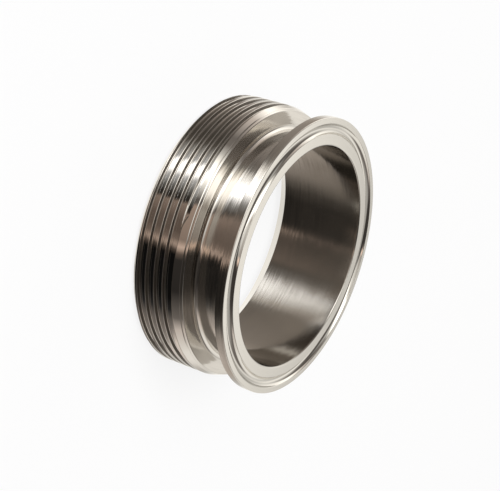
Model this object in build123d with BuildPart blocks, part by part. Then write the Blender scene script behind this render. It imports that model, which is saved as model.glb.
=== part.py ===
from build123d import *
from math import acos, degrees, radians, tan
import os

# Sanitary clamp to male thread adapter: a short stainless ferrule, turned in one piece.
# It stands on its threaded end, with +Z along the bore towards the clamp face.
# The origin is the centre of the threaded end. Sizes are millimetres and degrees.

# Whole part: its tube is the neck between the flange and the threaded body
overall_length = 34.0
neck_diameter = 76.2
neck_wall = 1.65
neck_round = 1.6

# Clamp flange: a rim that stands out from the neck, with a tapered back and a gasket groove in its face
flange_overhang = 7.35
rim_thickness = 2.87
flange_back_angle = 20.0
gasket_groove_inset = 3.7
gasket_groove_width = 3.4
gasket_groove_depth = 1.25
rim_edge_round = 0.3
bore_edge_round = 0.45
groove_edge_round = 0.25

# Threaded body: how far its crests stand out from the neck, its shoulder, and the tapered land
thread_overhang = 7.25
shoulder_height = 18.6
shoulder_edge_round = 0.35
land_taper_angle = 20.0
land_taper_length = 3.2
end_chamfer = 1.5

# Seat in the threaded end: a bevel that opens out of the bore
bevel_angle = 45.0
bevel_depth = 4.35

# Thread: right-hand, eight to the inch, low Acme form
thread_pitch = 25.4 / 8
thread_depth = 1.1
crest_width = 1.3
flank_angle = 14.5
root_round = 0.15

# Middle of the groove: its height over +X, and the turns it makes above that
groove_height = 0.5
groove_turns = 4

# End of the thread: the groove leaves the body along an arc wider than its root
run_out_bearing = 241.0
run_out_ease = 8.2

# How far a cutting section stands outside the body
cutter_clearance = 0.5

neck_radius = neck_diameter / 2
bore_radius = neck_radius - neck_wall
flange_radius = neck_radius + flange_overhang
thread_radius = neck_radius + thread_overhang
root_radius = thread_radius - thread_depth
bevel_mouth_radius = bore_radius + bevel_depth * tan(radians(bevel_angle))
taper_drop = land_taper_length * tan(radians(land_taper_angle))
shoulder_radius = thread_radius - taper_drop
taper_start = shoulder_height - land_taper_length
rim_back = overall_length - rim_thickness
flange_back_foot = rim_back - flange_overhang * tan(radians(flange_back_angle))

# The gasket groove is an arc, found from its width and depth
gasket_groove_radius = flange_radius - gasket_groove_inset
gasket_half_width = gasket_groove_width / 2
gasket_arc_radius = (gasket_half_width**2 + gasket_groove_depth**2) / (2 * gasket_groove_depth)

# Thread groove: half its width at the root, and at the top of the cutting section
flank_run = thread_depth * tan(radians(flank_angle))
root_half_width = (thread_pitch - crest_width) / 2 - flank_run
section_height = thread_depth + cutter_clearance
section_half_width = root_half_width + section_height * tan(radians(flank_angle))

# Section that cuts the thread groove: X points outwards, from the root
groove_outline = [
    (0, -root_half_width),
    (section_height, -section_half_width),
    (section_height, section_half_width),
    (0, root_half_width),
]

# The helix starts a turn lower, below the end face
helix_start_height = groove_height - thread_pitch
helix_turns = 1 + groove_turns + run_out_bearing / 360


def corner_at(sketch, radius, height):
    """Returns the corner of a half section that is nearest to a point."""
    return sketch.vertices().sort_by_distance((radius, height))[0]


with BuildPart() as adapter:
    # Half section of the turned blank: X is the radius, Y the height
    with BuildSketch(Plane.XZ) as blank_section:
        with BuildLine():
            Polyline(
                (bore_radius, bevel_depth),
                (bevel_mouth_radius, 0),
                (thread_radius - end_chamfer, 0),
                (thread_radius, end_chamfer),
                (thread_radius, taper_start),
                (shoulder_radius, shoulder_height),
                (neck_radius, shoulder_height),
                (neck_radius, flange_back_foot),
                (flange_radius, rim_back),
                (flange_radius, overall_length),
                (bore_radius, overall_length),
                close=True,
            )
        make_face()
        with Locations((gasket_groove_radius, overall_length + gasket_arc_radius - gasket_groove_depth)):
            Circle(gasket_arc_radius, mode=Mode.SUBTRACT)
        fillet(corner_at(blank_section, bore_radius, overall_length), radius=bore_edge_round)
        fillet(corner_at(blank_section, flange_radius, overall_length), radius=rim_edge_round)
        for groove_edge in (-gasket_half_width, gasket_half_width):
            groove_corner = corner_at(blank_section, gasket_groove_radius + groove_edge, overall_length)
            fillet(groove_corner, radius=groove_edge_round)
        for neck_end in (shoulder_height, flange_back_foot):
            fillet(corner_at(blank_section, neck_radius, neck_end), radius=neck_round)
        fillet(corner_at(blank_section, shoulder_radius, shoulder_height), radius=shoulder_edge_round)
    revolve(axis=Axis.Z)

    # Thread groove along its helix
    with BuildLine(Plane((0, 0, helix_start_height))):
        groove_path = Helix(thread_pitch, helix_turns * thread_pitch, root_radius)
    helix_start = Plane(groove_path @ 0, x_dir=(1, 0, 0), z_dir=groove_path % 0)
    with BuildSketch(helix_start) as groove_section:
        with BuildLine():
            Polyline(*groove_outline, close=True)
        make_face()
        fillet(groove_section.vertices().group_by(Axis.X)[0], radius=root_round)
    sweep(path=groove_path, is_frenet=True, mode=Mode.SUBTRACT)

    # Run-out: the same section turned about the centre of the wider arc
    run_out_radius = root_radius + run_out_ease
    exit_radius = thread_radius + cutter_clearance
    exit_reach = run_out_radius**2 + run_out_ease**2 - exit_radius**2
    run_out_angle = degrees(acos(exit_reach / (2 * run_out_radius * run_out_ease)))
    run_out_direction = Vector(1, 0, 0).rotate(Axis.Z, run_out_bearing)
    helix_end = Plane(groove_path @ 1, x_dir=run_out_direction, z_dir=groove_path % 1)
    with BuildSketch(helix_end) as run_out_section:
        with BuildLine():
            Polyline(*groove_outline, close=True)
        make_face()
        fillet(run_out_section.vertices().group_by(Axis.X)[0], radius=root_round)
    arc_centre = helix_end.origin - helix_end.x_dir * run_out_radius
    revolve(axis=Axis(arc_centre, -helix_end.y_dir), revolution_arc=run_out_angle, mode=Mode.SUBTRACT)

adapter.part.label = "adapter_body"
os.makedirs("parts", exist_ok=True)
export_step(adapter.part, "parts/adapter_body.step")
print("volume mm3", round(adapter.part.volume), "solids", len(adapter.part.solids()))
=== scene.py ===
"""Sanitary clamp threaded adapter: a short stainless ferrule, turned in one piece.

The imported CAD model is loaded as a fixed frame. One piece stands for its only node: the
turned body, made on a lathe outline, and a thread sleeve that Geometry Nodes make along the
helix. Both are welded to one closed skin of turned, brushed and polished stainless steel.
The adapter stands on its threaded end on a pale floor, in a studio of light and dark panels.

Sizes are in millimetres, and MM turns them to Blender's metres. Bearings are degrees about
the bore, counted from +X towards +Y. The camera looks from the side of -Y, at 270 degrees.
"""

import logging
import math
from dataclasses import dataclass, field
from enum import Enum

import bmesh
import bpy
from mathutils import Matrix, Vector

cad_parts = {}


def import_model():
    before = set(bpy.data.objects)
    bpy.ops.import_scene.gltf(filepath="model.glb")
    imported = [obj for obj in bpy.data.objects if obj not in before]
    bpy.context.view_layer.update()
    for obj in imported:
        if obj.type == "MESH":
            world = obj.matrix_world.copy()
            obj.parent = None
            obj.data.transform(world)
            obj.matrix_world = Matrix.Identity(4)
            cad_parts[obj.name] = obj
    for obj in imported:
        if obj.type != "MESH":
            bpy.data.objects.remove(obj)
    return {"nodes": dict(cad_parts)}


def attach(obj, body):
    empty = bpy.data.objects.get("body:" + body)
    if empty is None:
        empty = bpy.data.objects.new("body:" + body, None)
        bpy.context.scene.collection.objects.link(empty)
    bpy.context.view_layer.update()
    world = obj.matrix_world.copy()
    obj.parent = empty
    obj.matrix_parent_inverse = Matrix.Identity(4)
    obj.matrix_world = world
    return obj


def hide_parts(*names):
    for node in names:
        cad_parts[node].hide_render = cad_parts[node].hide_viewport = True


MM = 0.001
FULL_TURN = 360
ROOT_BODY = "root"
BODY_NODE = "adapter_body"

# Slope of the tapered land, which the turned body and the thread sleeve share
LAND_TAPER_ANGLE = 20.0

# The two kinds of node that are used most
MATH = "ShaderNodeMath"
VECTOR_MATH = "ShaderNodeVectorMath"

Point = tuple[float, float]
Colour = tuple[float, float, float, float]
Setting = tuple[str, object]
Tree = bpy.types.NodeTree
Socket = bpy.types.NodeSocket
Sockets = bpy.types.bpy_prop_collection


class Region(Enum):
    """Surfaces of the adapter that were worked in different ways."""

    THREAD = 0
    NECK = 1
    # The bore's darker colour is painted shade inside the ring
    BORE = 2
    FACE = 3
    # The flanks' darker colour is painted shade in the grooves
    FLANK = 4
    SHOULDER = 5


def linear_colour(code: str) -> Colour:
    """Turns an sRGB hex colour to linear values, by the sRGB standard's own curve.

    Args:
        code: six hex digits after a hash sign.

    Returns:
        Linear red, green and blue, and an alpha of 1.
    """
    shares = [int(code[start : start + 2], 16) / 255 for start in (1, 3, 5)]
    red, green, blue = (
        share / 12.92 if share <= 0.04045 else ((share + 0.055) / 1.055) ** 2.4 for share in shares
    )
    return red, green, blue, 1.0


def add_node(tree: Tree, kind: str, inputs: dict | None = None, **settings: object) -> bpy.types.Node:
    """Adds a node with its settings and its inputs.

    Args:
        tree: the node tree.
        kind: the node's type.
        inputs: an input's name or number, with its value or the output socket that feeds it.
        settings: properties of the node.

    Returns:
        The new node.
    """
    node = tree.nodes.new(kind)
    for name, value in settings.items():
        setattr(node, name, value)
    for key, value in (inputs or {}).items():
        if isinstance(value, bpy.types.NodeSocket):
            tree.links.new(value, node.inputs[key])
        else:
            node.inputs[key].default_value = value
    return node


@dataclass(frozen=True)
class StainlessSteel:
    """Austenitic stainless steel, turned and then polished round the part's axis.

    The tool and the belt both run round the part, so the scratches are rings. They spread a
    reflection along the part and leave it sharp round it, which anisotropy gives. Coarser
    rings tilt the surface a little along the part. They also run a little askew, which turns
    their reflection round the part and frays the edges of the panels into streaks.
    """

    name: str
    colour: str
    roughness: float
    anisotropy: float
    # Width of a ring, and how far the rings lean along the part and round it. A real
    # scratch is too fine to show, so the rings are drawn several times as wide
    ring_spacing: float
    tilt: float
    skew: float
    # Size of the clouds that the polishing wheel leaves, and how far they change the roughness
    cloud_size: float
    cloud_roughness: float
    # Share of the cloud noise's range that takes the roughness from its lowest to its highest
    cloud_low: float = 0.3
    cloud_high: float = 0.7
    # How fine the two noises are
    scratches_per_radian: float = 3.0
    scratch_detail: float = 1.5
    cloud_detail: float = 2.0
    noise_falloff: float = 0.5
    # A quarter turn from the ring direction: the spread runs across the scratches
    spread_turn: float = 0.25

    def scratched_normal(self, tree: Tree, place: Socket, tangent: Socket) -> Socket:
        """Leans the surface by a noise that is drawn out to arcs round the part.

        Args:
            tree: the material's node tree.
            place: Object coordinates.
            tangent: direction round the part.

        Returns:
            The leaning normal.
        """
        flat = add_node(tree, VECTOR_MATH, {0: place, 1: (1, 1, 0)}, operation="MULTIPLY").outputs[0]
        outward = add_node(tree, VECTOR_MATH, {0: flat}, operation="NORMALIZE").outputs[0]
        radius = add_node(tree, VECTOR_MATH, {0: flat}, operation="LENGTH").outputs["Value"]
        height = add_node(tree, "ShaderNodeSeparateXYZ", {0: place}).outputs["Z"]

        # Height and radius together count the rings, on walls and on flat faces alike
        across = add_node(tree, MATH, {0: height, 1: radius}, operation="ADD").outputs[0]
        ring = add_node(tree, "ShaderNodeCombineXYZ", {"Z": across}).outputs[0]
        rings = add_node(
            tree, VECTOR_MATH, {0: ring, "Scale": 1 / (self.ring_spacing * MM)}, operation="SCALE"
        ).outputs[0]
        arcs = add_node(
            tree, VECTOR_MATH, {0: outward, "Scale": self.scratches_per_radian}, operation="SCALE"
        ).outputs[0]
        scratch_place = add_node(tree, VECTOR_MATH, {0: arcs, 1: rings}, operation="ADD").outputs[0]
        noise = add_node(
            tree,
            "ShaderNodeTexNoise",
            {
                "Vector": scratch_place,
                "Scale": 1.0,
                "Detail": self.scratch_detail,
                "Roughness": self.noise_falloff,
            },
        ).outputs["Color"]

        # The noise runs from 0 to 1, and the lean from -1 to 1
        lean = add_node(
            tree,
            VECTOR_MATH,
            {0: noise, 1: (2.0, 2.0, 2.0), 2: (-1.0, -1.0, -1.0)},
            operation="MULTIPLY_ADD",
        ).outputs[0]
        part = add_node(tree, "ShaderNodeSeparateXYZ", {0: lean}).outputs
        normal = add_node(tree, "ShaderNodeNewGeometry").outputs["Normal"]
        along = add_node(tree, VECTOR_MATH, {0: normal, 1: tangent}, operation="CROSS_PRODUCT").outputs[0]
        for direction, share, size in ((tangent, part["X"], self.skew), (along, part["Y"], self.tilt)):
            amount = add_node(tree, MATH, {0: share, 1: size}, operation="MULTIPLY").outputs[0]
            step = add_node(
                tree, VECTOR_MATH, {0: direction, "Scale": amount}, operation="SCALE"
            ).outputs[0]
            normal = add_node(tree, VECTOR_MATH, {0: normal, 1: step}, operation="ADD").outputs[0]
        return add_node(tree, VECTOR_MATH, {0: normal}, operation="NORMALIZE").outputs[0]

    def clouded_roughness(self, tree: Tree, place: Socket) -> Socket:
        """Changes the roughness in the clouds that the polishing wheel leaves.

        Args:
            tree: the material's node tree.
            place: Object coordinates.

        Returns:
            The roughness.
        """
        cloud_place = add_node(
            tree, VECTOR_MATH, {0: place, "Scale": 1 / (self.cloud_size * MM)}, operation="SCALE"
        ).outputs[0]
        clouds = add_node(
            tree,
            "ShaderNodeTexNoise",
            {
                "Vector": cloud_place,
                "Scale": 1.0,
                "Detail": self.cloud_detail,
                "Roughness": self.noise_falloff,
            },
        ).outputs["Fac"]
        return add_node(
            tree,
            "ShaderNodeMapRange",
            {
                "Value": clouds,
                "From Min": self.cloud_low,
                "From Max": self.cloud_high,
                "To Min": self.roughness - self.cloud_roughness,
                "To Max": self.roughness + self.cloud_roughness,
            },
        ).outputs[0]

    def material(self) -> bpy.types.Material:
        """Makes the finish as a node material on Object coordinates.

        Returns:
            The material.
        """
        material = bpy.data.materials.new(self.name)
        material.use_nodes = True
        tree = material.node_tree
        shader = tree.nodes["Principled BSDF"]
        shader.inputs["Base Color"].default_value = linear_colour(self.colour)
        shader.inputs["Metallic"].default_value = 1.0
        shader.inputs["Anisotropic"].default_value = self.anisotropy
        shader.inputs["Anisotropic Rotation"].default_value = self.spread_turn
        place = add_node(tree, "ShaderNodeTexCoord").outputs["Object"]
        tangent = add_node(tree, "ShaderNodeTangent", direction_type="RADIAL", axis="Z").outputs[0]
        tree.links.new(self.scratched_normal(tree, place, tangent), shader.inputs["Normal"])
        tree.links.new(self.clouded_roughness(tree, place), shader.inputs["Roughness"])
        tree.links.new(tangent, shader.inputs["Tangent"])
        return material


@dataclass(frozen=True)
class Finishes:
    """The finish of each region of the adapter."""

    # Turned with a form tool and buffed bright: it mirrors the panels in crisp bands
    thread: StainlessSteel = StainlessSteel(
        name="polished_thread_steel",
        colour="#CFCBC5",
        roughness=0.05,
        anisotropy=0.3,
        ring_spacing=0.5,
        tilt=0.002,
        skew=0.006,
        cloud_size=9.0,
        cloud_roughness=0.015,
    )
    # Brushed on a belt while the part turned: the edge of each mirrored panel frays
    neck: StainlessSteel = StainlessSteel(
        name="brushed_neck_steel",
        colour="#D2CEC8",
        roughness=0.13,
        anisotropy=0.4,
        ring_spacing=0.3,
        tilt=0.02,
        skew=0.075,
        cloud_size=7.0,
        cloud_roughness=0.02,
    )
    # Brushed from inside, with soft streaks along the bore; its darker colour is painted shade inside the
    # ring
    bore: StainlessSteel = StainlessSteel(
        name="brushed_bore_steel_painted_shade",
        colour="#BBB7B1",
        roughness=0.12,
        anisotropy=0.6,
        ring_spacing=0.35,
        tilt=0.02,
        skew=0.035,
        cloud_size=8.0,
        cloud_roughness=0.03,
    )
    # Faced with a fine feed and buffed: an even, pale shine
    face: StainlessSteel = StainlessSteel(
        name="faced_flange_steel",
        colour="#D2CFC9",
        roughness=0.09,
        anisotropy=0.4,
        ring_spacing=0.4,
        tilt=0.003,
        skew=0.004,
        cloud_size=9.0,
        cloud_roughness=0.02,
    )
    # Left as cut, out of the buffing wheel's reach, so rougher; its darker colour is painted shade in the
    # grooves, the dark lines between the crests
    flank: StainlessSteel = StainlessSteel(
        name="cut_flank_steel_painted_shade",
        colour="#9A958F",
        roughness=0.36,
        anisotropy=0.0,
        ring_spacing=0.5,
        tilt=0.004,
        skew=0.006,
        cloud_size=9.0,
        cloud_roughness=0.02,
    )
    # Faced with the tool alone: a soft shine, brighter than the grooves
    shoulder: StainlessSteel = StainlessSteel(
        name="turned_shoulder_steel",
        colour="#CBC7C1",
        roughness=0.1,
        anisotropy=0.4,
        ring_spacing=0.4,
        tilt=0.02,
        skew=0.03,
        cloud_size=9.0,
        cloud_roughness=0.02,
    )

    def materials(self) -> list[bpy.types.Material]:
        """Makes the materials in the order of the regions' numbers."""
        finishes = (self.thread, self.neck, self.bore, self.face, self.flank, self.shoulder)
        return [finish.material() for finish in finishes]


@dataclass(frozen=True)
class CornerArc:
    """The arc that rounds a corner of an outline, and a point on the flat beside each end."""

    centre: Vector
    lead: Vector
    first: Vector
    last: Vector
    tail: Vector

    @classmethod
    def fit(cls, before: Vector, corner: Vector, after: Vector, radius: float, margin: float) -> "CornerArc":
        """Fits the arc between the two edges that meet at a corner.

        Args:
            before: the outline's point before the corner.
            corner: the corner.
            after: the outline's point after the corner.
            radius: radius of the arc.
            margin: distance from an end of the arc to the point on the flat beside it.

        Returns:
            The arc.
        """
        back = (before - corner).normalized()
        ahead = (after - corner).normalized()
        half_opening = back.angle(ahead) / 2
        reach = radius / math.tan(half_opening)
        return cls(
            centre=corner + (back + ahead).normalized() * (radius / math.sin(half_opening)),
            lead=corner + back * (reach + margin),
            first=corner + back * reach,
            last=corner + ahead * reach,
            tail=corner + ahead * (reach + margin),
        )


@dataclass(frozen=True)
class Corner:
    """A corner of a turned outline: its place, its rounding, and the region that follows it."""

    radius: float
    height: float
    rounding: float
    region: Region

    @property
    def place(self) -> Vector:
        """The corner's radius and height as a vector."""
        return Vector((self.radius, self.height))


@dataclass
class TurnedBody:
    """All of the adapter but its thread: flange, neck, shoulder, bore and end face.

    The outline runs from the tapered land, where the thread sleeve ends, over the shoulder,
    the neck and the flange, and back through the bore to the chamfer's foot.
    """

    # Radius and height of the thread sleeve's upper and lower edge
    land_top: Point
    chamfer_foot: Point
    overall_length: float = 34.0
    bore_radius: float = 36.45
    flange_radius: float = 45.45
    rim_thickness: float = 2.87
    flange_back_angle: float = 20.0
    gasket_groove_radius: float = 41.75
    gasket_groove_width: float = 3.4
    gasket_groove_depth: float = 1.25
    gasket_edge_round: float = 0.25
    rim_round: float = 0.3
    flange_back_round: float = 0.12
    bore_edge_round: float = 0.45
    neck_radius: float = 38.1
    neck_round: float = 1.6
    shoulder_height: float = 18.6
    shoulder_round: float = 0.35
    land_taper_angle: float = LAND_TAPER_ANGLE
    # Fine line that the tool left on the land, near the shoulder
    line_height: float = 17.75
    line_width: float = 0.4
    line_depth: float = 0.13
    line_round: float = 0.04
    # The bevel is 45 degrees, so it is as wide as it is deep
    bevel_depth: float = 4.35
    bevel_round: float = 0.15
    # How fine the mesh is: columns round the part, and degrees between the points of an arc
    bearings: int = 340
    arc_step: float = 11.0
    # From the end of an arc to a point on the flat, which keeps the flat's shading flat
    flat_margin: float = 0.03

    def arc(self, centre: Point, radius: float, start: float, end: float) -> list[Point]:
        """Points along an arc, both ends among them.

        Args:
            centre: centre of the arc, as radius and height.
            radius: radius of the arc.
            start: first angle in degrees, from the outward direction to the upward one.
            end: last angle in degrees.

        Returns:
            The points in order.
        """
        count = max(2, math.ceil(abs(end - start) / self.arc_step))
        angles = [math.radians(start + (end - start) * step / count) for step in range(count + 1)]
        return [
            (centre[0] + radius * math.cos(angle), centre[1] + radius * math.sin(angle)) for angle in angles
        ]

    def rounded(self, before: Corner, corner: Corner, after: Corner) -> list[Point]:
        """Points round one corner, with a close point on the flat at each end.

        Args:
            before: the corner that comes before it.
            corner: the corner to round.
            after: the corner that comes after it.

        Returns:
            The points in order.
        """
        arc = CornerArc.fit(before.place, corner.place, after.place, corner.rounding, self.flat_margin)
        first = arc.first - arc.centre
        last = arc.last - arc.centre
        start = math.degrees(math.atan2(first.y, first.x))
        sweep = math.degrees(math.atan2(first.x * last.y - first.y * last.x, first.dot(last)))
        points = self.arc((arc.centre.x, arc.centre.y), corner.rounding, start, start + sweep)
        return [(arc.lead.x, arc.lead.y), *points, (arc.tail.x, arc.tail.y)]

    def gasket_groove(self) -> list[Point]:
        """The gasket groove in the clamp face, an arc with a rounded edge on either side.

        Returns:
            Its points, from its outer edge to its inner one.
        """
        half = self.gasket_groove_width / 2
        depth = self.gasket_groove_depth
        radius = (half**2 + depth**2) / (2 * depth)
        rise = radius - depth
        edge = self.gasket_edge_round
        shift = math.sqrt((radius + edge) ** 2 - (rise + edge) ** 2)
        opening = math.degrees(math.atan2(rise + edge, shift))
        top = self.overall_length
        outer = self.arc((self.gasket_groove_radius + shift, top - edge), edge, 90, 180 - opening)
        floor = self.arc((self.gasket_groove_radius, top + rise), radius, -opening, opening - 180)
        inner = self.arc((self.gasket_groove_radius - shift, top - edge), edge, opening, 90)
        first = (outer[0][0] + self.flat_margin, top)
        last = (inner[-1][0] - self.flat_margin, top)
        return [first, *outer, *floor[1:-1], *inner, last]

    def corners(self) -> list[Corner]:
        """The outline's corners in order, its two open ends first and last.

        Returns:
            The corners.
        """
        rim_back = self.overall_length - self.rim_thickness
        overhang = self.flange_radius - self.neck_radius
        flange_foot = rim_back - overhang * math.tan(math.radians(self.flange_back_angle))
        land_slope = math.tan(math.radians(self.land_taper_angle))
        land_radius, land_height = self.land_top
        shoulder_radius = land_radius - (self.shoulder_height - land_height) * land_slope
        line_radius = land_radius - (self.line_height - land_height) * land_slope
        line_rise = self.line_width / 2
        line_run = line_rise * land_slope
        return [
            Corner(*self.land_top, 0, Region.THREAD),
            Corner(line_radius + line_run, self.line_height - line_rise, self.line_round, Region.THREAD),
            Corner(line_radius - self.line_depth, self.line_height, self.line_round, Region.THREAD),
            Corner(line_radius - line_run, self.line_height + line_rise, self.line_round, Region.THREAD),
            Corner(shoulder_radius, self.shoulder_height, self.shoulder_round, Region.SHOULDER),
            Corner(self.neck_radius, self.shoulder_height, self.neck_round, Region.NECK),
            Corner(self.neck_radius, flange_foot, self.neck_round, Region.NECK),
            Corner(self.flange_radius, rim_back, self.flange_back_round, Region.NECK),
            Corner(self.flange_radius, self.overall_length, self.rim_round, Region.FACE),
            Corner(self.bore_radius, self.overall_length, self.bore_edge_round, Region.BORE),
            Corner(self.bore_radius, self.bevel_depth, self.bevel_round, Region.FACE),
            Corner(self.bore_radius + self.bevel_depth, 0, self.bevel_round, Region.FACE),
            Corner(*self.chamfer_foot, 0, Region.FACE),
        ]

    def outline(self) -> tuple[list[Point], list[Region]]:
        """The whole outline.

        Returns:
            The points, and the region of the strip that follows each point but the last.
        """
        corners = self.corners()
        points: list[Point] = [self.land_top]
        regions: list[Region] = []
        for before, corner, after in zip(corners, corners[1:], corners[2:]):
            rounding = self.rounded(before, corner, after)
            if corner.height == self.overall_length and corner.radius == self.bore_radius:
                groove = self.gasket_groove()
                points += groove
                regions += [Region.FACE] * len(groove)
            points += rounding
            half = len(rounding) // 2
            regions += [before.region] * half + [corner.region] * (len(rounding) - half)
        foot_radius, foot_height = self.chamfer_foot
        points += [(foot_radius - self.flat_margin, foot_height), self.chamfer_foot]
        regions += [Region.FACE] * 2
        return points, regions

    def skin(self) -> bmesh.types.BMesh:
        """Turns the outline about the bore's axis.

        Returns:
            The mesh, open where the thread sleeve goes.
        """
        points, regions = self.outline()
        skin = bmesh.new()
        turns = [2 * math.pi * step / self.bearings for step in range(self.bearings)]
        rings = [
            [
                skin.verts.new((radius * MM * math.cos(turn), radius * MM * math.sin(turn), height * MM))
                for turn in turns
            ]
            for radius, height in points
        ]
        for lower, upper, region in zip(rings, rings[1:], regions):
            for step in range(self.bearings):
                after = (step + 1) % self.bearings
                face = skin.faces.new((lower[step], lower[after], upper[after], upper[step]))
                face.material_index = region.value
        return skin


@dataclass
class ThreadSleeve:
    """The outside thread, with the chamfer ahead of it and the tapered land behind it.

    Its mesh rows follow the helix, so crests, flanks and roots stay crisp all the way round.
    """

    pitch: float = 25.4 / 8
    depth: float = 1.1
    crest_radius: float = 45.35
    crest_width: float = 1.3
    flank_angle: float = 14.5
    crest_round: float = 0.2
    root_round: float = 0.2
    # Middle of the groove: its height over +X, and the turns it makes above that
    groove_height: float = 0.5
    groove_turns: int = 4
    # End of the groove: where it starts to leave the body, and by how much wider an arc
    run_out_bearing: float = 241.0
    run_out_ease: float = 8.2
    end_chamfer: float = 1.5
    taper_start: float = 15.4
    land_taper_angle: float = LAND_TAPER_ANGLE
    top_height: float = 17.3
    # How often the form is laid round the part, from a turn below the groove's start
    passes: int = 7
    # How fine the mesh is: steps in an arc, and from its end to a point on the flat
    round_steps: int = 3
    flat_margin: float = 0.02
    # Rows this close to a turned edge, and this close to the crest, are brought onto the edge
    ring_snap: float = 0.1
    crest_margin: float = 0.02

    @property
    def land_top(self) -> Point:
        """Radius and height of the sleeve's upper edge."""
        drop = (self.top_height - self.taper_start) * math.tan(math.radians(self.land_taper_angle))
        return self.crest_radius - drop, self.top_height

    @property
    def chamfer_foot(self) -> Point:
        """Radius and height of the sleeve's lower edge."""
        return self.crest_radius - self.end_chamfer, 0.0

    def half_form(self) -> list[Point]:
        """Half of one groove's section, from the middle of its root to the middle of a crest.

        Returns:
            Its points, as distance from the groove's middle and height above its root.
        """
        slope = math.tan(math.radians(self.flank_angle))
        root_middle = Vector((0, 0))
        root_corner = Vector(((self.pitch - self.crest_width) / 2 - self.depth * slope, 0))
        crest_corner = Vector(((self.pitch - self.crest_width) / 2, self.depth))
        crest_middle = Vector((self.pitch / 2, self.depth))
        points: list[Vector] = [root_middle]
        for before, corner, after, rounding in (
            (root_middle, root_corner, crest_corner, self.root_round),
            (root_corner, crest_corner, crest_middle, self.crest_round),
        ):
            arc = CornerArc.fit(before, corner, after, rounding, self.flat_margin)
            points.append(arc.lead)
            for step in range(self.round_steps + 1):
                arm = (arc.first - arc.centre).lerp(arc.last - arc.centre, step / self.round_steps)
                points.append(arc.centre + arm.normalized() * rounding)
            points.append(arc.tail)
        points.append((points[-1] + crest_middle) / 2)
        points.append(crest_middle)
        return [(point.x, point.y) for point in points]

    def form_object(self) -> bpy.types.Object:
        """Makes the section of one pitch, which the tree reads.

        Returns:
            An object that is a row of points: X along the part, Z above the root.
        """
        half = self.half_form()
        mirrored = [(-along, rise) for along, rise in reversed(half[1:])]
        points = [(along * MM, 0.0, rise * MM) for along, rise in mirrored + half[:-1]]
        mesh = bpy.data.meshes.new("thread_form")
        mesh.from_pydata(points, [], [])
        form = bpy.data.objects.new("thread_form", mesh)
        bpy.context.collection.objects.link(form)
        return form

    def settings(
        self, bearings: int, form: bpy.types.Object, steel: bpy.types.Material
    ) -> dict[str, Setting]:
        """What the tree is given.

        Args:
            bearings: number of columns round the part.
            form: section of one pitch.
            steel: material of the thread.

        Returns:
            The kind of socket and the value of each input, by its name.
        """
        lengths = {
            "Pitch": self.pitch,
            "Groove Height": self.groove_height,
            "Crest Radius": self.crest_radius,
            "Root Radius": self.crest_radius - self.depth,
            "Run-out Ease": self.run_out_ease,
            "End Chamfer": self.end_chamfer,
            "Taper Start": self.taper_start,
            "Top Height": self.top_height,
            "Ring Snap": self.ring_snap,
            "Crest Margin": self.crest_margin,
        }
        return {
            "Form": ("NodeSocketObject", form),
            "Steel": ("NodeSocketMaterial", steel),
            "Bearings": ("NodeSocketInt", bearings),
            "Passes": ("NodeSocketInt", self.passes),
            "Groove Turns": ("NodeSocketFloat", self.groove_turns + self.run_out_bearing / FULL_TURN),
            "Taper Slope": ("NodeSocketFloat", math.tan(math.radians(self.land_taper_angle))),
            **{name: ("NodeSocketFloat", length * MM) for name, length in lengths.items()},
        }

    def grid(self, tree: Tree, given: Sockets) -> tuple[Socket, Socket, Socket, Socket]:
        """Adds the grid that becomes the sleeve.

        It has one row for each point of the form and each pass, and one column for each
        bearing. A vertex's number tells its row and column.

        Args:
            tree: the node tree.
            given: the tree's inputs.

        Returns:
            The grid, and for each vertex its pass, its share of a turn and the form's point.
        """
        form = add_node(tree, "GeometryNodeObjectInfo", {"Object": given["Form"]}).outputs["Geometry"]
        form_size = add_node(tree, "GeometryNodeAttributeDomainSize", {"Geometry": form})
        form_count = form_size.outputs["Point Count"]
        columns = add_node(tree, MATH, {0: given["Bearings"], 1: 1.0}, operation="ADD").outputs[0]
        rows = add_node(tree, MATH, {0: form_count, 1: given["Passes"]}, operation="MULTIPLY").outputs[0]
        grid = add_node(tree, "GeometryNodeMeshGrid", {"Vertices X": rows, "Vertices Y": columns})

        # Half a step is added before each division, so that it always rounds down to the same row
        index = add_node(tree, "GeometryNodeInputIndex").outputs[0]
        middle = add_node(tree, MATH, {0: index, 1: 0.5}, operation="ADD").outputs[0]
        row_share = add_node(tree, MATH, {0: middle, 1: columns}, operation="DIVIDE").outputs[0]
        row = add_node(tree, MATH, {0: row_share}, operation="FLOOR").outputs[0]
        row_first = add_node(tree, MATH, {0: row, 1: columns}, operation="MULTIPLY").outputs[0]
        column = add_node(tree, MATH, {0: index, 1: row_first}, operation="SUBTRACT").outputs[0]
        share = add_node(tree, MATH, {0: column, 1: given["Bearings"]}, operation="DIVIDE").outputs[0]
        row_middle = add_node(tree, MATH, {0: row, 1: 0.5}, operation="ADD").outputs[0]
        pass_share = add_node(tree, MATH, {0: row_middle, 1: form_count}, operation="DIVIDE").outputs[0]
        thread_pass = add_node(tree, MATH, {0: pass_share}, operation="FLOOR").outputs[0]
        pass_first = add_node(tree, MATH, {0: thread_pass, 1: form_count}, operation="MULTIPLY").outputs[0]
        form_index = add_node(tree, MATH, {0: row, 1: pass_first}, operation="SUBTRACT").outputs[0]
        place = add_node(tree, "GeometryNodeInputPosition").outputs[0]
        form_place = add_node(
            tree,
            "GeometryNodeSampleIndex",
            {"Geometry": form, "Value": place, "Index": form_index},
            data_type="FLOAT_VECTOR",
        ).outputs["Value"]
        return grid.outputs["Mesh"], thread_pass, share, form_place

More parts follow.
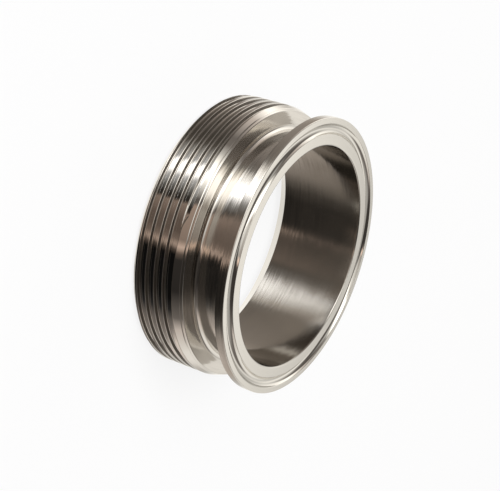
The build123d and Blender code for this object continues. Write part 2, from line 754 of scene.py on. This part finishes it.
    def root_radius(self, tree: Tree, given: Sockets, turn: Socket) -> Socket:
        """Adds the radius of the groove's root, which grows along the run-out.

        Past the full turns the root follows a wider arc, about a centre beyond the axis.

        Args:
            tree: the node tree.
            given: the tree's inputs.
            turn: turns made since the groove crossed +X at its stated height.

        Returns:
            The radius.
        """
        ease = given["Run-out Ease"]
        past = add_node(tree, MATH, {0: turn, 1: given["Groove Turns"]}, operation="SUBTRACT").outputs[0]
        past_angle = add_node(tree, MATH, {0: past, 1: 2 * math.pi}, operation="MULTIPLY").outputs[0]
        swing = add_node(
            tree, "ShaderNodeClamp", {"Value": past_angle, "Min": 0.0, "Max": math.pi / 2}
        ).outputs[0]
        sine = add_node(tree, MATH, {0: swing}, operation="SINE").outputs[0]
        cosine = add_node(tree, MATH, {0: swing}, operation="COSINE").outputs[0]
        arc_radius = add_node(tree, MATH, {0: given["Root Radius"], 1: ease}, operation="ADD").outputs[0]
        side = add_node(tree, MATH, {0: sine, 1: ease}, operation="MULTIPLY").outputs[0]
        side_square = add_node(tree, MATH, {0: side, 1: side}, operation="MULTIPLY").outputs[0]
        arc_square = add_node(tree, MATH, {0: arc_radius, 1: arc_radius}, operation="MULTIPLY").outputs[0]
        square = add_node(tree, MATH, {0: arc_square, 1: side_square}, operation="SUBTRACT").outputs[0]
        reach = add_node(tree, MATH, {0: square}, operation="SQRT").outputs[0]
        back = add_node(tree, MATH, {0: cosine, 1: ease}, operation="MULTIPLY").outputs[0]
        return add_node(tree, MATH, {0: reach, 1: back}, operation="SUBTRACT").outputs[0]

    def trim(
        self, tree: Tree, given: Sockets, thread_radius: Socket, free_height: Socket
    ) -> tuple[Socket, Socket]:
        """Trims the thread to the turned blank: chamfer, cylinder and tapered land.

        Args:
            tree: the node tree.
            given: the tree's inputs.
            thread_radius: radius of a vertex on the untrimmed thread.
            free_height: its height there.

        Returns:
            The radius and the height on the sleeve.
        """
        crest = given["Crest Radius"]
        height = add_node(
            tree, "ShaderNodeClamp", {"Value": free_height, "Min": 0.0, "Max": given["Top Height"]}
        ).outputs[0]

        # Crest rows near a turned edge are brought onto it
        margin = add_node(
            tree, MATH, {0: thread_radius, 1: given["Crest Margin"]}, operation="ADD"
        ).outputs[0]
        on_crest = add_node(tree, MATH, {0: margin, 1: crest}, operation="GREATER_THAN").outputs[0]
        for edge in (given["End Chamfer"], given["Taper Start"]):
            near = add_node(
                tree, MATH, {0: height, 1: edge, 2: given["Ring Snap"]}, operation="COMPARE"
            ).outputs[0]
            both = add_node(tree, MATH, {0: near, 1: on_crest}, operation="MULTIPLY").outputs[0]
            height = add_node(
                tree, "ShaderNodeMix", {0: both, 2: height, 3: edge}, data_type="FLOAT"
            ).outputs[0]

        foot = add_node(tree, MATH, {0: crest, 1: given["End Chamfer"]}, operation="SUBTRACT").outputs[0]
        chamfer = add_node(tree, MATH, {0: foot, 1: height}, operation="ADD").outputs[0]
        above = add_node(tree, MATH, {0: height, 1: given["Taper Start"]}, operation="SUBTRACT").outputs[0]
        drop = add_node(tree, MATH, {0: above, 1: given["Taper Slope"]}, operation="MULTIPLY").outputs[0]
        taper = add_node(tree, MATH, {0: crest, 1: drop}, operation="SUBTRACT").outputs[0]
        radius = thread_radius
        for limit in (chamfer, crest, taper):
            radius = add_node(tree, MATH, {0: radius, 1: limit}, operation="MINIMUM").outputs[0]
        return radius, height

    def tree(self, settings: dict[str, Setting]) -> Tree:
        """Geometry Nodes that lay the form along the helix and trim it to the turned blank.

        Args:
            settings: the kind of socket and the value of each input, by its name.

        Returns:
            The node tree.
        """
        tree = bpy.data.node_groups.new("helical_thread", "GeometryNodeTree")
        tree.interface.new_socket("Geometry", in_out="INPUT", socket_type="NodeSocketGeometry")
        for name, (kind, _) in settings.items():
            tree.interface.new_socket(name, in_out="INPUT", socket_type=kind)
        tree.interface.new_socket("Geometry", in_out="OUTPUT", socket_type="NodeSocketGeometry")
        given = add_node(tree, "NodeGroupInput").outputs
        grid, thread_pass, share, form_place = self.grid(tree, given)
        form_part = add_node(tree, "ShaderNodeSeparateXYZ", {0: form_place}).outputs

        # Turns made since the groove crossed +X at its stated height, and the height there
        pass_turn = add_node(tree, MATH, {0: thread_pass, 1: 1.0}, operation="SUBTRACT").outputs[0]
        turn = add_node(tree, MATH, {0: pass_turn, 1: share}, operation="ADD").outputs[0]
        lead = add_node(
            tree, MATH, {0: turn, 1: given["Pitch"], 2: given["Groove Height"]}, operation="MULTIPLY_ADD"
        ).outputs[0]
        free_height = add_node(tree, MATH, {0: lead, 1: form_part["X"]}, operation="ADD").outputs[0]
        root = self.root_radius(tree, given, turn)
        thread_radius = add_node(tree, MATH, {0: root, 1: form_part["Z"]}, operation="ADD").outputs[0]
        radius, height = self.trim(tree, given, thread_radius, free_height)

        angle = add_node(tree, MATH, {0: share, 1: 2 * math.pi}, operation="MULTIPLY").outputs[0]
        cosine = add_node(tree, MATH, {0: angle}, operation="COSINE").outputs[0]
        sine = add_node(tree, MATH, {0: angle}, operation="SINE").outputs[0]
        x = add_node(tree, MATH, {0: cosine, 1: radius}, operation="MULTIPLY").outputs[0]
        y = add_node(tree, MATH, {0: sine, 1: radius}, operation="MULTIPLY").outputs[0]
        target = add_node(tree, "ShaderNodeCombineXYZ", {"X": x, "Y": y, "Z": height}).outputs[0]
        sleeve = add_node(tree, "GeometryNodeSetPosition", {"Geometry": grid, "Position": target}).outputs[0]
        real = add_node(tree, "GeometryNodeRealizeInstances", {"Geometry": sleeve}).outputs[0]
        dressed = add_node(
            tree, "GeometryNodeSetMaterial", {"Geometry": real, "Material": given["Steel"]}
        ).outputs[0]
        add_node(tree, "NodeGroupOutput", {"Geometry": dressed})
        return tree

    def mesh(self, bearings: int, steel: bpy.types.Material) -> bpy.types.Mesh:
        """Runs the tree on an empty object and keeps its result.

        Args:
            bearings: number of columns round the part.
            steel: material of the thread.

        Returns:
            The sleeve as a plain mesh, open at both ends.
        """
        form = self.form_object()
        settings = self.settings(bearings, form, steel)
        host = bpy.data.objects.new("thread_host", bpy.data.meshes.new("thread_host"))
        bpy.context.collection.objects.link(host)
        modifier = host.modifiers.new("thread", "NODES")
        modifier.node_group = self.tree(settings)
        for socket in modifier.node_group.interface.items_tree:
            if socket.in_out == "INPUT" and socket.name in settings:
                modifier[socket.identifier] = settings[socket.name][1]
        graph = bpy.context.evaluated_depsgraph_get()
        mesh = bpy.data.meshes.new_from_object(host.evaluated_get(graph))
        host.modifiers.remove(modifier)
        bpy.data.objects.remove(host)
        bpy.data.objects.remove(form)
        return mesh


@dataclass
class Adapter:
    """The whole adapter: the turned body and the thread sleeve, welded to one skin."""

    thread: ThreadSleeve = field(default_factory=ThreadSleeve)
    finishes: Finishes = field(default_factory=Finishes)
    # Points this close are welded, and edges this short are dissolved
    weld_distance: float = 0.002
    sliver_length: float = 0.0005
    # Faces of the sleeve whose normal leans further along the part than this are flanks
    flank_rise: float = 0.85

    def build(self) -> bpy.types.Object:
        """Makes the piece and puts it on the frame.

        Returns:
            The finished object.
        """
        materials = self.finishes.materials()
        body = TurnedBody(self.thread.land_top, self.thread.chamfer_foot)
        skin = body.skin()
        sleeve = self.thread.mesh(body.bearings, materials[Region.THREAD.value])
        turned_faces = len(skin.faces)
        skin.from_mesh(sleeve)
        skin.faces.ensure_lookup_table()
        for face in skin.faces[turned_faces:]:
            # Steep faces are the flanks, which get the darker finish that paints shade in the grooves
            steep = abs(face.normal.z) > self.flank_rise
            face.material_index = (Region.FLANK if steep else Region.THREAD).value
        bmesh.ops.remove_doubles(skin, verts=skin.verts, dist=self.weld_distance * MM)
        bmesh.ops.dissolve_degenerate(skin, edges=skin.edges, dist=self.sliver_length * MM)
        bmesh.ops.recalc_face_normals(skin, faces=skin.faces)
        for face in skin.faces:
            face.smooth = True
        mesh = bpy.data.meshes.new("clamp_thread_adapter")
        for material in materials:
            mesh.materials.append(material)
        open_edges = sum(not edge.is_manifold for edge in skin.edges)
        skin.to_mesh(mesh)
        skin.free()
        bpy.data.meshes.remove(sleeve)
        piece = bpy.data.objects.new("clamp_thread_adapter", mesh)
        bpy.context.collection.objects.link(piece)
        mesh.calc_loop_triangles()
        logging.info("%s: %d triangles, %d open edges", piece.name, len(mesh.loop_triangles), open_edges)
        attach(piece, ROOT_BODY)
        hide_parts(BODY_NODE)
        return piece


class Cast(Enum):
    """Colour cast of a panel, as the sRGB colour that it would have at full brightness."""

    WHITE = "#FFFFFF"
    CARD = "#FFFCF6"
    WALL = "#FFF3EA"
    WOOD = "#FFF0E0"
    COPPER = "#FFE2CF"
    CLOTH = "#FFFDFD"


@dataclass(frozen=True)
class Panel:
    """What stands at one bearing of a row: its brightness, where 1 is a white wall, and its cast."""

    bearing: float
    brightness: float
    cast: Cast

    def light(self) -> Colour:
        """The panel's light.

        Returns:
            Its linear colour, whose green is the brightness.
        """
        red, green, blue, alpha = linear_colour(self.cast.value)
        scale = self.brightness / green
        return red * scale, green * scale, blue * scale, alpha


@dataclass(frozen=True)
class Row:
    """A row of panels round the studio, the first at bearing 0. Between two the light blends.

    A row takes over from the one below it between two rises, where the rise of a direction is
    its share that points up: -1 is straight down and 1 straight up.
    """

    start: float
    end: float
    panels: tuple[Panel, ...]


# What the crests mirror
LOW_ROW = Row(
    -1.0,
    -1.0,
    (
        Panel(0.0, 0.15, Cast.WALL),
        Panel(25.0, 0.26, Cast.WALL),
        Panel(42.0, 0.22, Cast.WALL),
        Panel(62.0, 0.5, Cast.CARD),
        Panel(82.0, 1.0, Cast.CARD),
        Panel(113.0, 1.3, Cast.CARD),
        Panel(128.0, 0.9, Cast.CARD),
        Panel(137.0, 0.34, Cast.WALL),
        Panel(151.0, 0.19, Cast.WOOD),
        Panel(170.0, 0.1, Cast.WOOD),
        Panel(196.0, 0.06, Cast.WOOD),
        Panel(204.0, 0.09, Cast.WOOD),
        Panel(213.0, 0.36, Cast.CARD),
        Panel(221.0, 0.62, Cast.WHITE),
        Panel(226.0, 2.4, Cast.WHITE),
        Panel(232.0, 2.4, Cast.WHITE),
        Panel(238.0, 0.62, Cast.WHITE),
        Panel(247.0, 0.17, Cast.CARD),
        Panel(253.0, 0.03, Cast.WOOD),
        Panel(256.5, 0.03, Cast.WOOD),
        Panel(258.5, 0.25, Cast.COPPER),
        Panel(271.0, 0.125, Cast.COPPER),
        Panel(281.0, 0.115, Cast.COPPER),
        Panel(287.0, 0.18, Cast.COPPER),
        Panel(291.0, 0.38, Cast.COPPER),
        Panel(293.0, 0.3, Cast.COPPER),
        Panel(295.5, 0.08, Cast.COPPER),
        Panel(299.5, 0.006, Cast.CLOTH),
        Panel(338.0, 0.006, Cast.CLOTH),
        Panel(349.0, 0.025, Cast.CLOTH),
    ),
)

# What the neck and the rim mirror
NECK_ROW = Row(
    -0.508,
    -0.5,
    (
        Panel(0.0, 0.45, Cast.WALL),
        Panel(25.0, 0.9, Cast.WALL),
        Panel(42.0, 0.8, Cast.WALL),
        Panel(62.0, 0.6, Cast.CARD),
        Panel(82.0, 0.8, Cast.CARD),
        Panel(113.0, 0.9, Cast.CARD),
        Panel(128.0, 0.65, Cast.CARD),
        Panel(137.0, 0.45, Cast.WALL),
        Panel(151.0, 0.36, Cast.WALL),
        Panel(170.0, 0.3, Cast.WALL),
        Panel(196.0, 0.17, Cast.WALL),
        Panel(204.0, 0.3, Cast.CARD),
        Panel(211.0, 1.8, Cast.CARD),
        Panel(221.0, 3.2, Cast.WHITE),
        Panel(236.0, 3.2, Cast.WHITE),
        Panel(244.0, 0.5, Cast.WHITE),
        Panel(253.0, 0.09, Cast.WOOD),
        Panel(258.5, 0.3, Cast.COPPER),
        Panel(281.0, 0.16, Cast.COPPER),
        Panel(287.0, 0.3, Cast.COPPER),
        Panel(290.5, 0.6, Cast.COPPER),
        Panel(292.5, 0.5, Cast.COPPER),
        Panel(295.5, 0.12, Cast.COPPER),
        Panel(299.5, 0.006, Cast.CLOTH),
        Panel(338.0, 0.006, Cast.CLOTH),
        Panel(349.0, 0.06, Cast.CLOTH),
    ),
)

# What the bore and the back of the flange mirror
FOOT_ROW = Row(
    -0.485,
    -0.455,
    (
        Panel(0.0, 0.28, Cast.WOOD),
        Panel(25.0, 0.28, Cast.WOOD),
        Panel(42.0, 0.4, Cast.WOOD),
        Panel(62.0, 0.6, Cast.CARD),
        Panel(82.0, 1.1, Cast.CARD),
        Panel(113.0, 1.0, Cast.CARD),
        Panel(137.0, 0.36, Cast.WOOD),
        Panel(151.0, 0.3, Cast.WOOD),
        Panel(204.0, 0.28, Cast.WOOD),
        Panel(213.0, 0.36, Cast.WOOD),
        Panel(226.0, 1.0, Cast.CARD),
        Panel(232.0, 0.78, Cast.CARD),
        Panel(238.0, 0.3, Cast.WOOD),
        Panel(247.0, 0.17, Cast.WOOD),
        Panel(258.5, 0.12, Cast.WOOD),
        Panel(301.0, 0.05, Cast.WOOD),
        Panel(326.0, 0.045, Cast.WOOD),
        Panel(338.0, 0.09, Cast.WOOD),
        Panel(349.0, 0.22, Cast.WOOD),
    ),
)

# What the tapered land and the grooves between the crests mirror
LEVEL_ROW = Row(
    -0.35,
    -0.2,
    (
        Panel(0.0, 0.7, Cast.WALL),
        Panel(25.0, 1.1, Cast.CARD),
        Panel(62.0, 1.1, Cast.CARD),
        Panel(82.0, 0.62, Cast.CARD),
        Panel(99.0, 0.62, Cast.CARD),
        Panel(113.0, 1.0, Cast.CARD),
        Panel(137.0, 1.5, Cast.CARD),
        Panel(151.0, 1.8, Cast.CARD),
        Panel(170.0, 0.75, Cast.WALL),
        Panel(196.0, 0.19, Cast.WALL),
        Panel(204.0, 0.22, Cast.WALL),
        Panel(213.0, 0.75, Cast.CARD),
        Panel(226.0, 2.3, Cast.CARD),
        Panel(232.0, 2.3, Cast.CARD),
        Panel(238.0, 1.6, Cast.CARD),
        Panel(247.0, 0.62, Cast.CARD),
        Panel(253.0, 0.13, Cast.WALL),
        Panel(256.5, 0.15, Cast.WALL),
        Panel(258.5, 0.36, Cast.COPPER),
        Panel(286.0, 0.26, Cast.COPPER),
        Panel(291.0, 0.6, Cast.COPPER),
        Panel(293.5, 0.4, Cast.COPPER),
        Panel(296.0, 0.12, Cast.COPPER),
        Panel(301.0, 0.035, Cast.WALL),
        Panel(326.0, 0.03, Cast.WALL),
        Panel(349.0, 0.18, Cast.WALL),
    ),
)

# What the clamp face and, by way of the neck, the shoulder mirror
HIGH_ROW = Row(
    0.36,
    0.5,
    (
        Panel(0.0, 0.2, Cast.WALL),
        Panel(25.0, 0.2, Cast.WALL),
        Panel(62.0, 0.2, Cast.WALL),
        Panel(82.0, 1.16, Cast.CARD),
        Panel(99.0, 1.26, Cast.CARD),
        Panel(113.0, 0.8, Cast.CARD),
        Panel(137.0, 0.22, Cast.WALL),
        Panel(170.0, 0.08, Cast.WALL),
        Panel(196.0, 0.26, Cast.WALL),
        Panel(204.0, 0.4, Cast.CARD),
        Panel(213.0, 1.8, Cast.CARD),
        Panel(221.0, 3.2, Cast.WHITE),
        Panel(238.0, 2.8, Cast.WHITE),
        Panel(247.0, 1.1, Cast.CARD),
        Panel(253.0, 0.5, Cast.WALL),
        Panel(258.5, 0.8, Cast.CARD),
        Panel(287.0, 0.46, Cast.WALL),
        Panel(291.0, 1.1, Cast.COPPER),
        Panel(293.5, 0.8, Cast.COPPER),
        Panel(296.0, 0.15, Cast.WALL),
        Panel(301.0, 0.05, Cast.WALL),
        Panel(338.0, 0.06, Cast.WALL),
    ),
)

# Overhead light, mirrored by rounded edges and the groove's flanks
OVER_ROW = Row(
    0.62,
    0.8,
    (
        Panel(0.0, 0.45, Cast.CARD),
        Panel(25.0, 0.5, Cast.CARD),
        Panel(42.0, 0.5, Cast.CARD),
        Panel(62.0, 0.7, Cast.CARD),
        Panel(82.0, 0.12, Cast.WALL),
        Panel(151.0, 0.12, Cast.WALL),
        Panel(170.0, 0.35, Cast.CARD),
        Panel(204.0, 0.9, Cast.CARD),
        Panel(221.0, 2.7, Cast.CARD),
        Panel(232.0, 2.7, Cast.CARD),
        Panel(253.0, 1.1, Cast.CARD),
        Panel(281.0, 0.9, Cast.CARD),
        Panel(301.0, 0.05, Cast.WALL),
        Panel(349.0, 0.06, Cast.WALL),
    ),
)


@dataclass
class Studio:
    """Floor, light panels, lamp and camera."""

    rows: tuple[Row, ...] = (LOW_ROW, NECK_ROW, FOOT_ROW, LEVEL_ROW, HIGH_ROW, OVER_ROW)
    floor_colour: str = "#F4F6FA"
    floor_roughness: float = 0.9
    floor_gloss: float = 0.1
    # Share of plain white in the floor that the camera sees. It weakens the shadow
    floor_lift: float = 0.85
    floor_size: float = 4000.0
    floor_edges: int = 96
    lamp_place: tuple[float, float, float] = (-300.0, -500.0, 1400.0)
    lamp_size: float = 900.0
    lamp_power: float = 9.0
    # Camera, as the photograph's circles place it: where it stands, what is right and
    # down in its picture, and its lens
    camera_place: tuple[float, float, float] = (0.0, -392.22, 227.2)
    camera_right: tuple[float, float, float] = (-0.31029, 0.45456, 0.83492)
    camera_down: tuple[float, float, float] = (0.95063, 0.14485, 0.27443)
    camera_lens: float = 99.09
    # Nearest and farthest distance that the camera sees
    camera_near: float = 50.0
    camera_far: float = 20000.0

    def floor(self) -> bpy.types.Object:
        """Makes the floor, which reflections and the light from below pass through.

        Returns:
            The floor.
        """
        skin = bmesh.new()
        bmesh.ops.create_circle(
            skin, cap_ends=True, segments=self.floor_edges, radius=self.floor_size / 2 * MM
        )
        mesh = bpy.data.meshes.new("studio_floor")
        skin.to_mesh(mesh)
        skin.free()
        material = bpy.data.materials.new("painted_floor")
        material.use_nodes = True
        tree = material.node_tree
        shader = tree.nodes["Principled BSDF"]
        shader.inputs["Base Color"].default_value = linear_colour(self.floor_colour)
        shader.inputs["Roughness"].default_value = self.floor_roughness
        shader.inputs["Specular IOR Level"].default_value = self.floor_gloss
        seen = add_node(tree, "ShaderNodeLightPath").outputs["Is Camera Ray"]
        lift = add_node(tree, MATH, {0: seen, 1: self.floor_lift}, operation="MULTIPLY").outputs[0]
        white = add_node(tree, "ShaderNodeEmission", {"Color": (1.0, 1.0, 1.0, 1.0), "Strength": 1.0})
        mixed = add_node(
            tree, "ShaderNodeMixShader", {0: lift, 1: shader.outputs[0], 2: white.outputs[0]}
        ).outputs[0]
        tree.links.new(mixed, tree.nodes["Material Output"].inputs["Surface"])
        mesh.materials.append(material)
        floor = bpy.data.objects.new("studio_floor", mesh)
        bpy.context.collection.objects.link(floor)
        floor.visible_glossy = False
        floor.visible_shadow = False
        return floor

    def ramp(self, tree: Tree, turn: Socket, row: Row) -> Socket:
        """Adds a colour ramp that runs once round the studio.

        Args:
            tree: the world's node tree.
            turn: bearing of a direction, as a share of a turn.
            row: the panels that it shows.

        Returns:
            The ramp's colour output.
        """
        node = add_node(tree, "ShaderNodeValToRGB", {0: turn})
        stops = node.color_ramp.elements

        # The ramp starts and ends on the first panel, which closes the ring
        for stop in stops:
            stop.color = row.panels[0].light()
        for panel in row.panels[1:]:
            stop = stops.new(panel.bearing / FULL_TURN)
            stop.color = panel.light()
        return node.outputs["Color"]

    def world(self) -> None:
        """Makes the world: rows of panels all round, from below the floor to overhead."""
        world = bpy.data.worlds.new("panel_studio")
        bpy.context.scene.world = world
        world.use_nodes = True
        tree = world.node_tree
        tree.nodes.clear()
        direction = add_node(tree, "ShaderNodeTexCoord").outputs["Generated"]
        part = add_node(tree, "ShaderNodeSeparateXYZ", {0: direction}).outputs
        angle = add_node(tree, MATH, {0: part["Y"], 1: part["X"]}, operation="ARCTAN2").outputs[0]
        share = add_node(tree, MATH, {0: angle, 1: 2 * math.pi}, operation="DIVIDE").outputs[0]
        turn = add_node(tree, MATH, {0: share, 1: 1.0, 2: 0.0}, operation="WRAP").outputs[0]
        room = self.ramp(tree, turn, self.rows[0])
        for row in self.rows[1:]:
            rise = add_node(
                tree,
                "ShaderNodeMapRange",
                {"Value": part["Z"], "From Min": row.start, "From Max": row.end},
                interpolation_type="SMOOTHSTEP",
            ).outputs[0]
            above = self.ramp(tree, turn, row)
            room = add_node(tree, "ShaderNodeMix", {0: rise, 6: room, 7: above}, data_type="RGBA").outputs[2]
        sky = add_node(tree, "ShaderNodeBackground", {"Color": room, "Strength": 1.0}).outputs[0]
        add_node(tree, "ShaderNodeOutputWorld", {"Surface": sky})

    def lamp(self) -> None:
        """Adds one large soft lamp, which gives the adapter its faint shadow."""
        data = bpy.data.lights.new("soft_lamp", "AREA")
        data.shape = "DISK"
        data.size = self.lamp_size * MM
        data.energy = self.lamp_power
        lamp = bpy.data.objects.new("soft_lamp", data)
        place = Vector(self.lamp_place) * MM
        lamp.location = place
        lamp.rotation_mode = "QUATERNION"
        lamp.rotation_quaternion = place.to_track_quat("Z", "Y")
        lamp.visible_glossy = False
        bpy.context.collection.objects.link(lamp)

    def camera(self) -> None:
        """Adds the camera at the photograph's viewing angle."""
        data = bpy.data.cameras.new("camera")
        data.lens = self.camera_lens
        data.clip_start = self.camera_near * MM
        data.clip_end = self.camera_far * MM
        right = Vector(self.camera_right).normalized()
        up = -Vector(self.camera_down).normalized()
        back = right.cross(up).normalized()
        turn = Matrix((right, back.cross(right), back)).transposed()
        camera = bpy.data.objects.new("camera", data)
        camera.matrix_world = Matrix.Translation(Vector(self.camera_place) * MM) @ turn.to_4x4()
        bpy.context.collection.objects.link(camera)
        bpy.context.scene.camera = camera

    def build(self) -> None:
        """Makes the whole studio."""
        self.floor()
        self.world()
        self.lamp()
        self.camera()


def main() -> None:
    """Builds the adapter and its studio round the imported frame."""
    logging.basicConfig(level=logging.INFO, format="%(message)s")
    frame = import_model()
    logging.info("frame nodes: %s", ", ".join(frame["nodes"]))
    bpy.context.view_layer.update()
    Adapter().build()
    Studio().build()
    bpy.context.scene.view_settings.view_transform = "Standard"


if __name__ == "__main__":
    main()
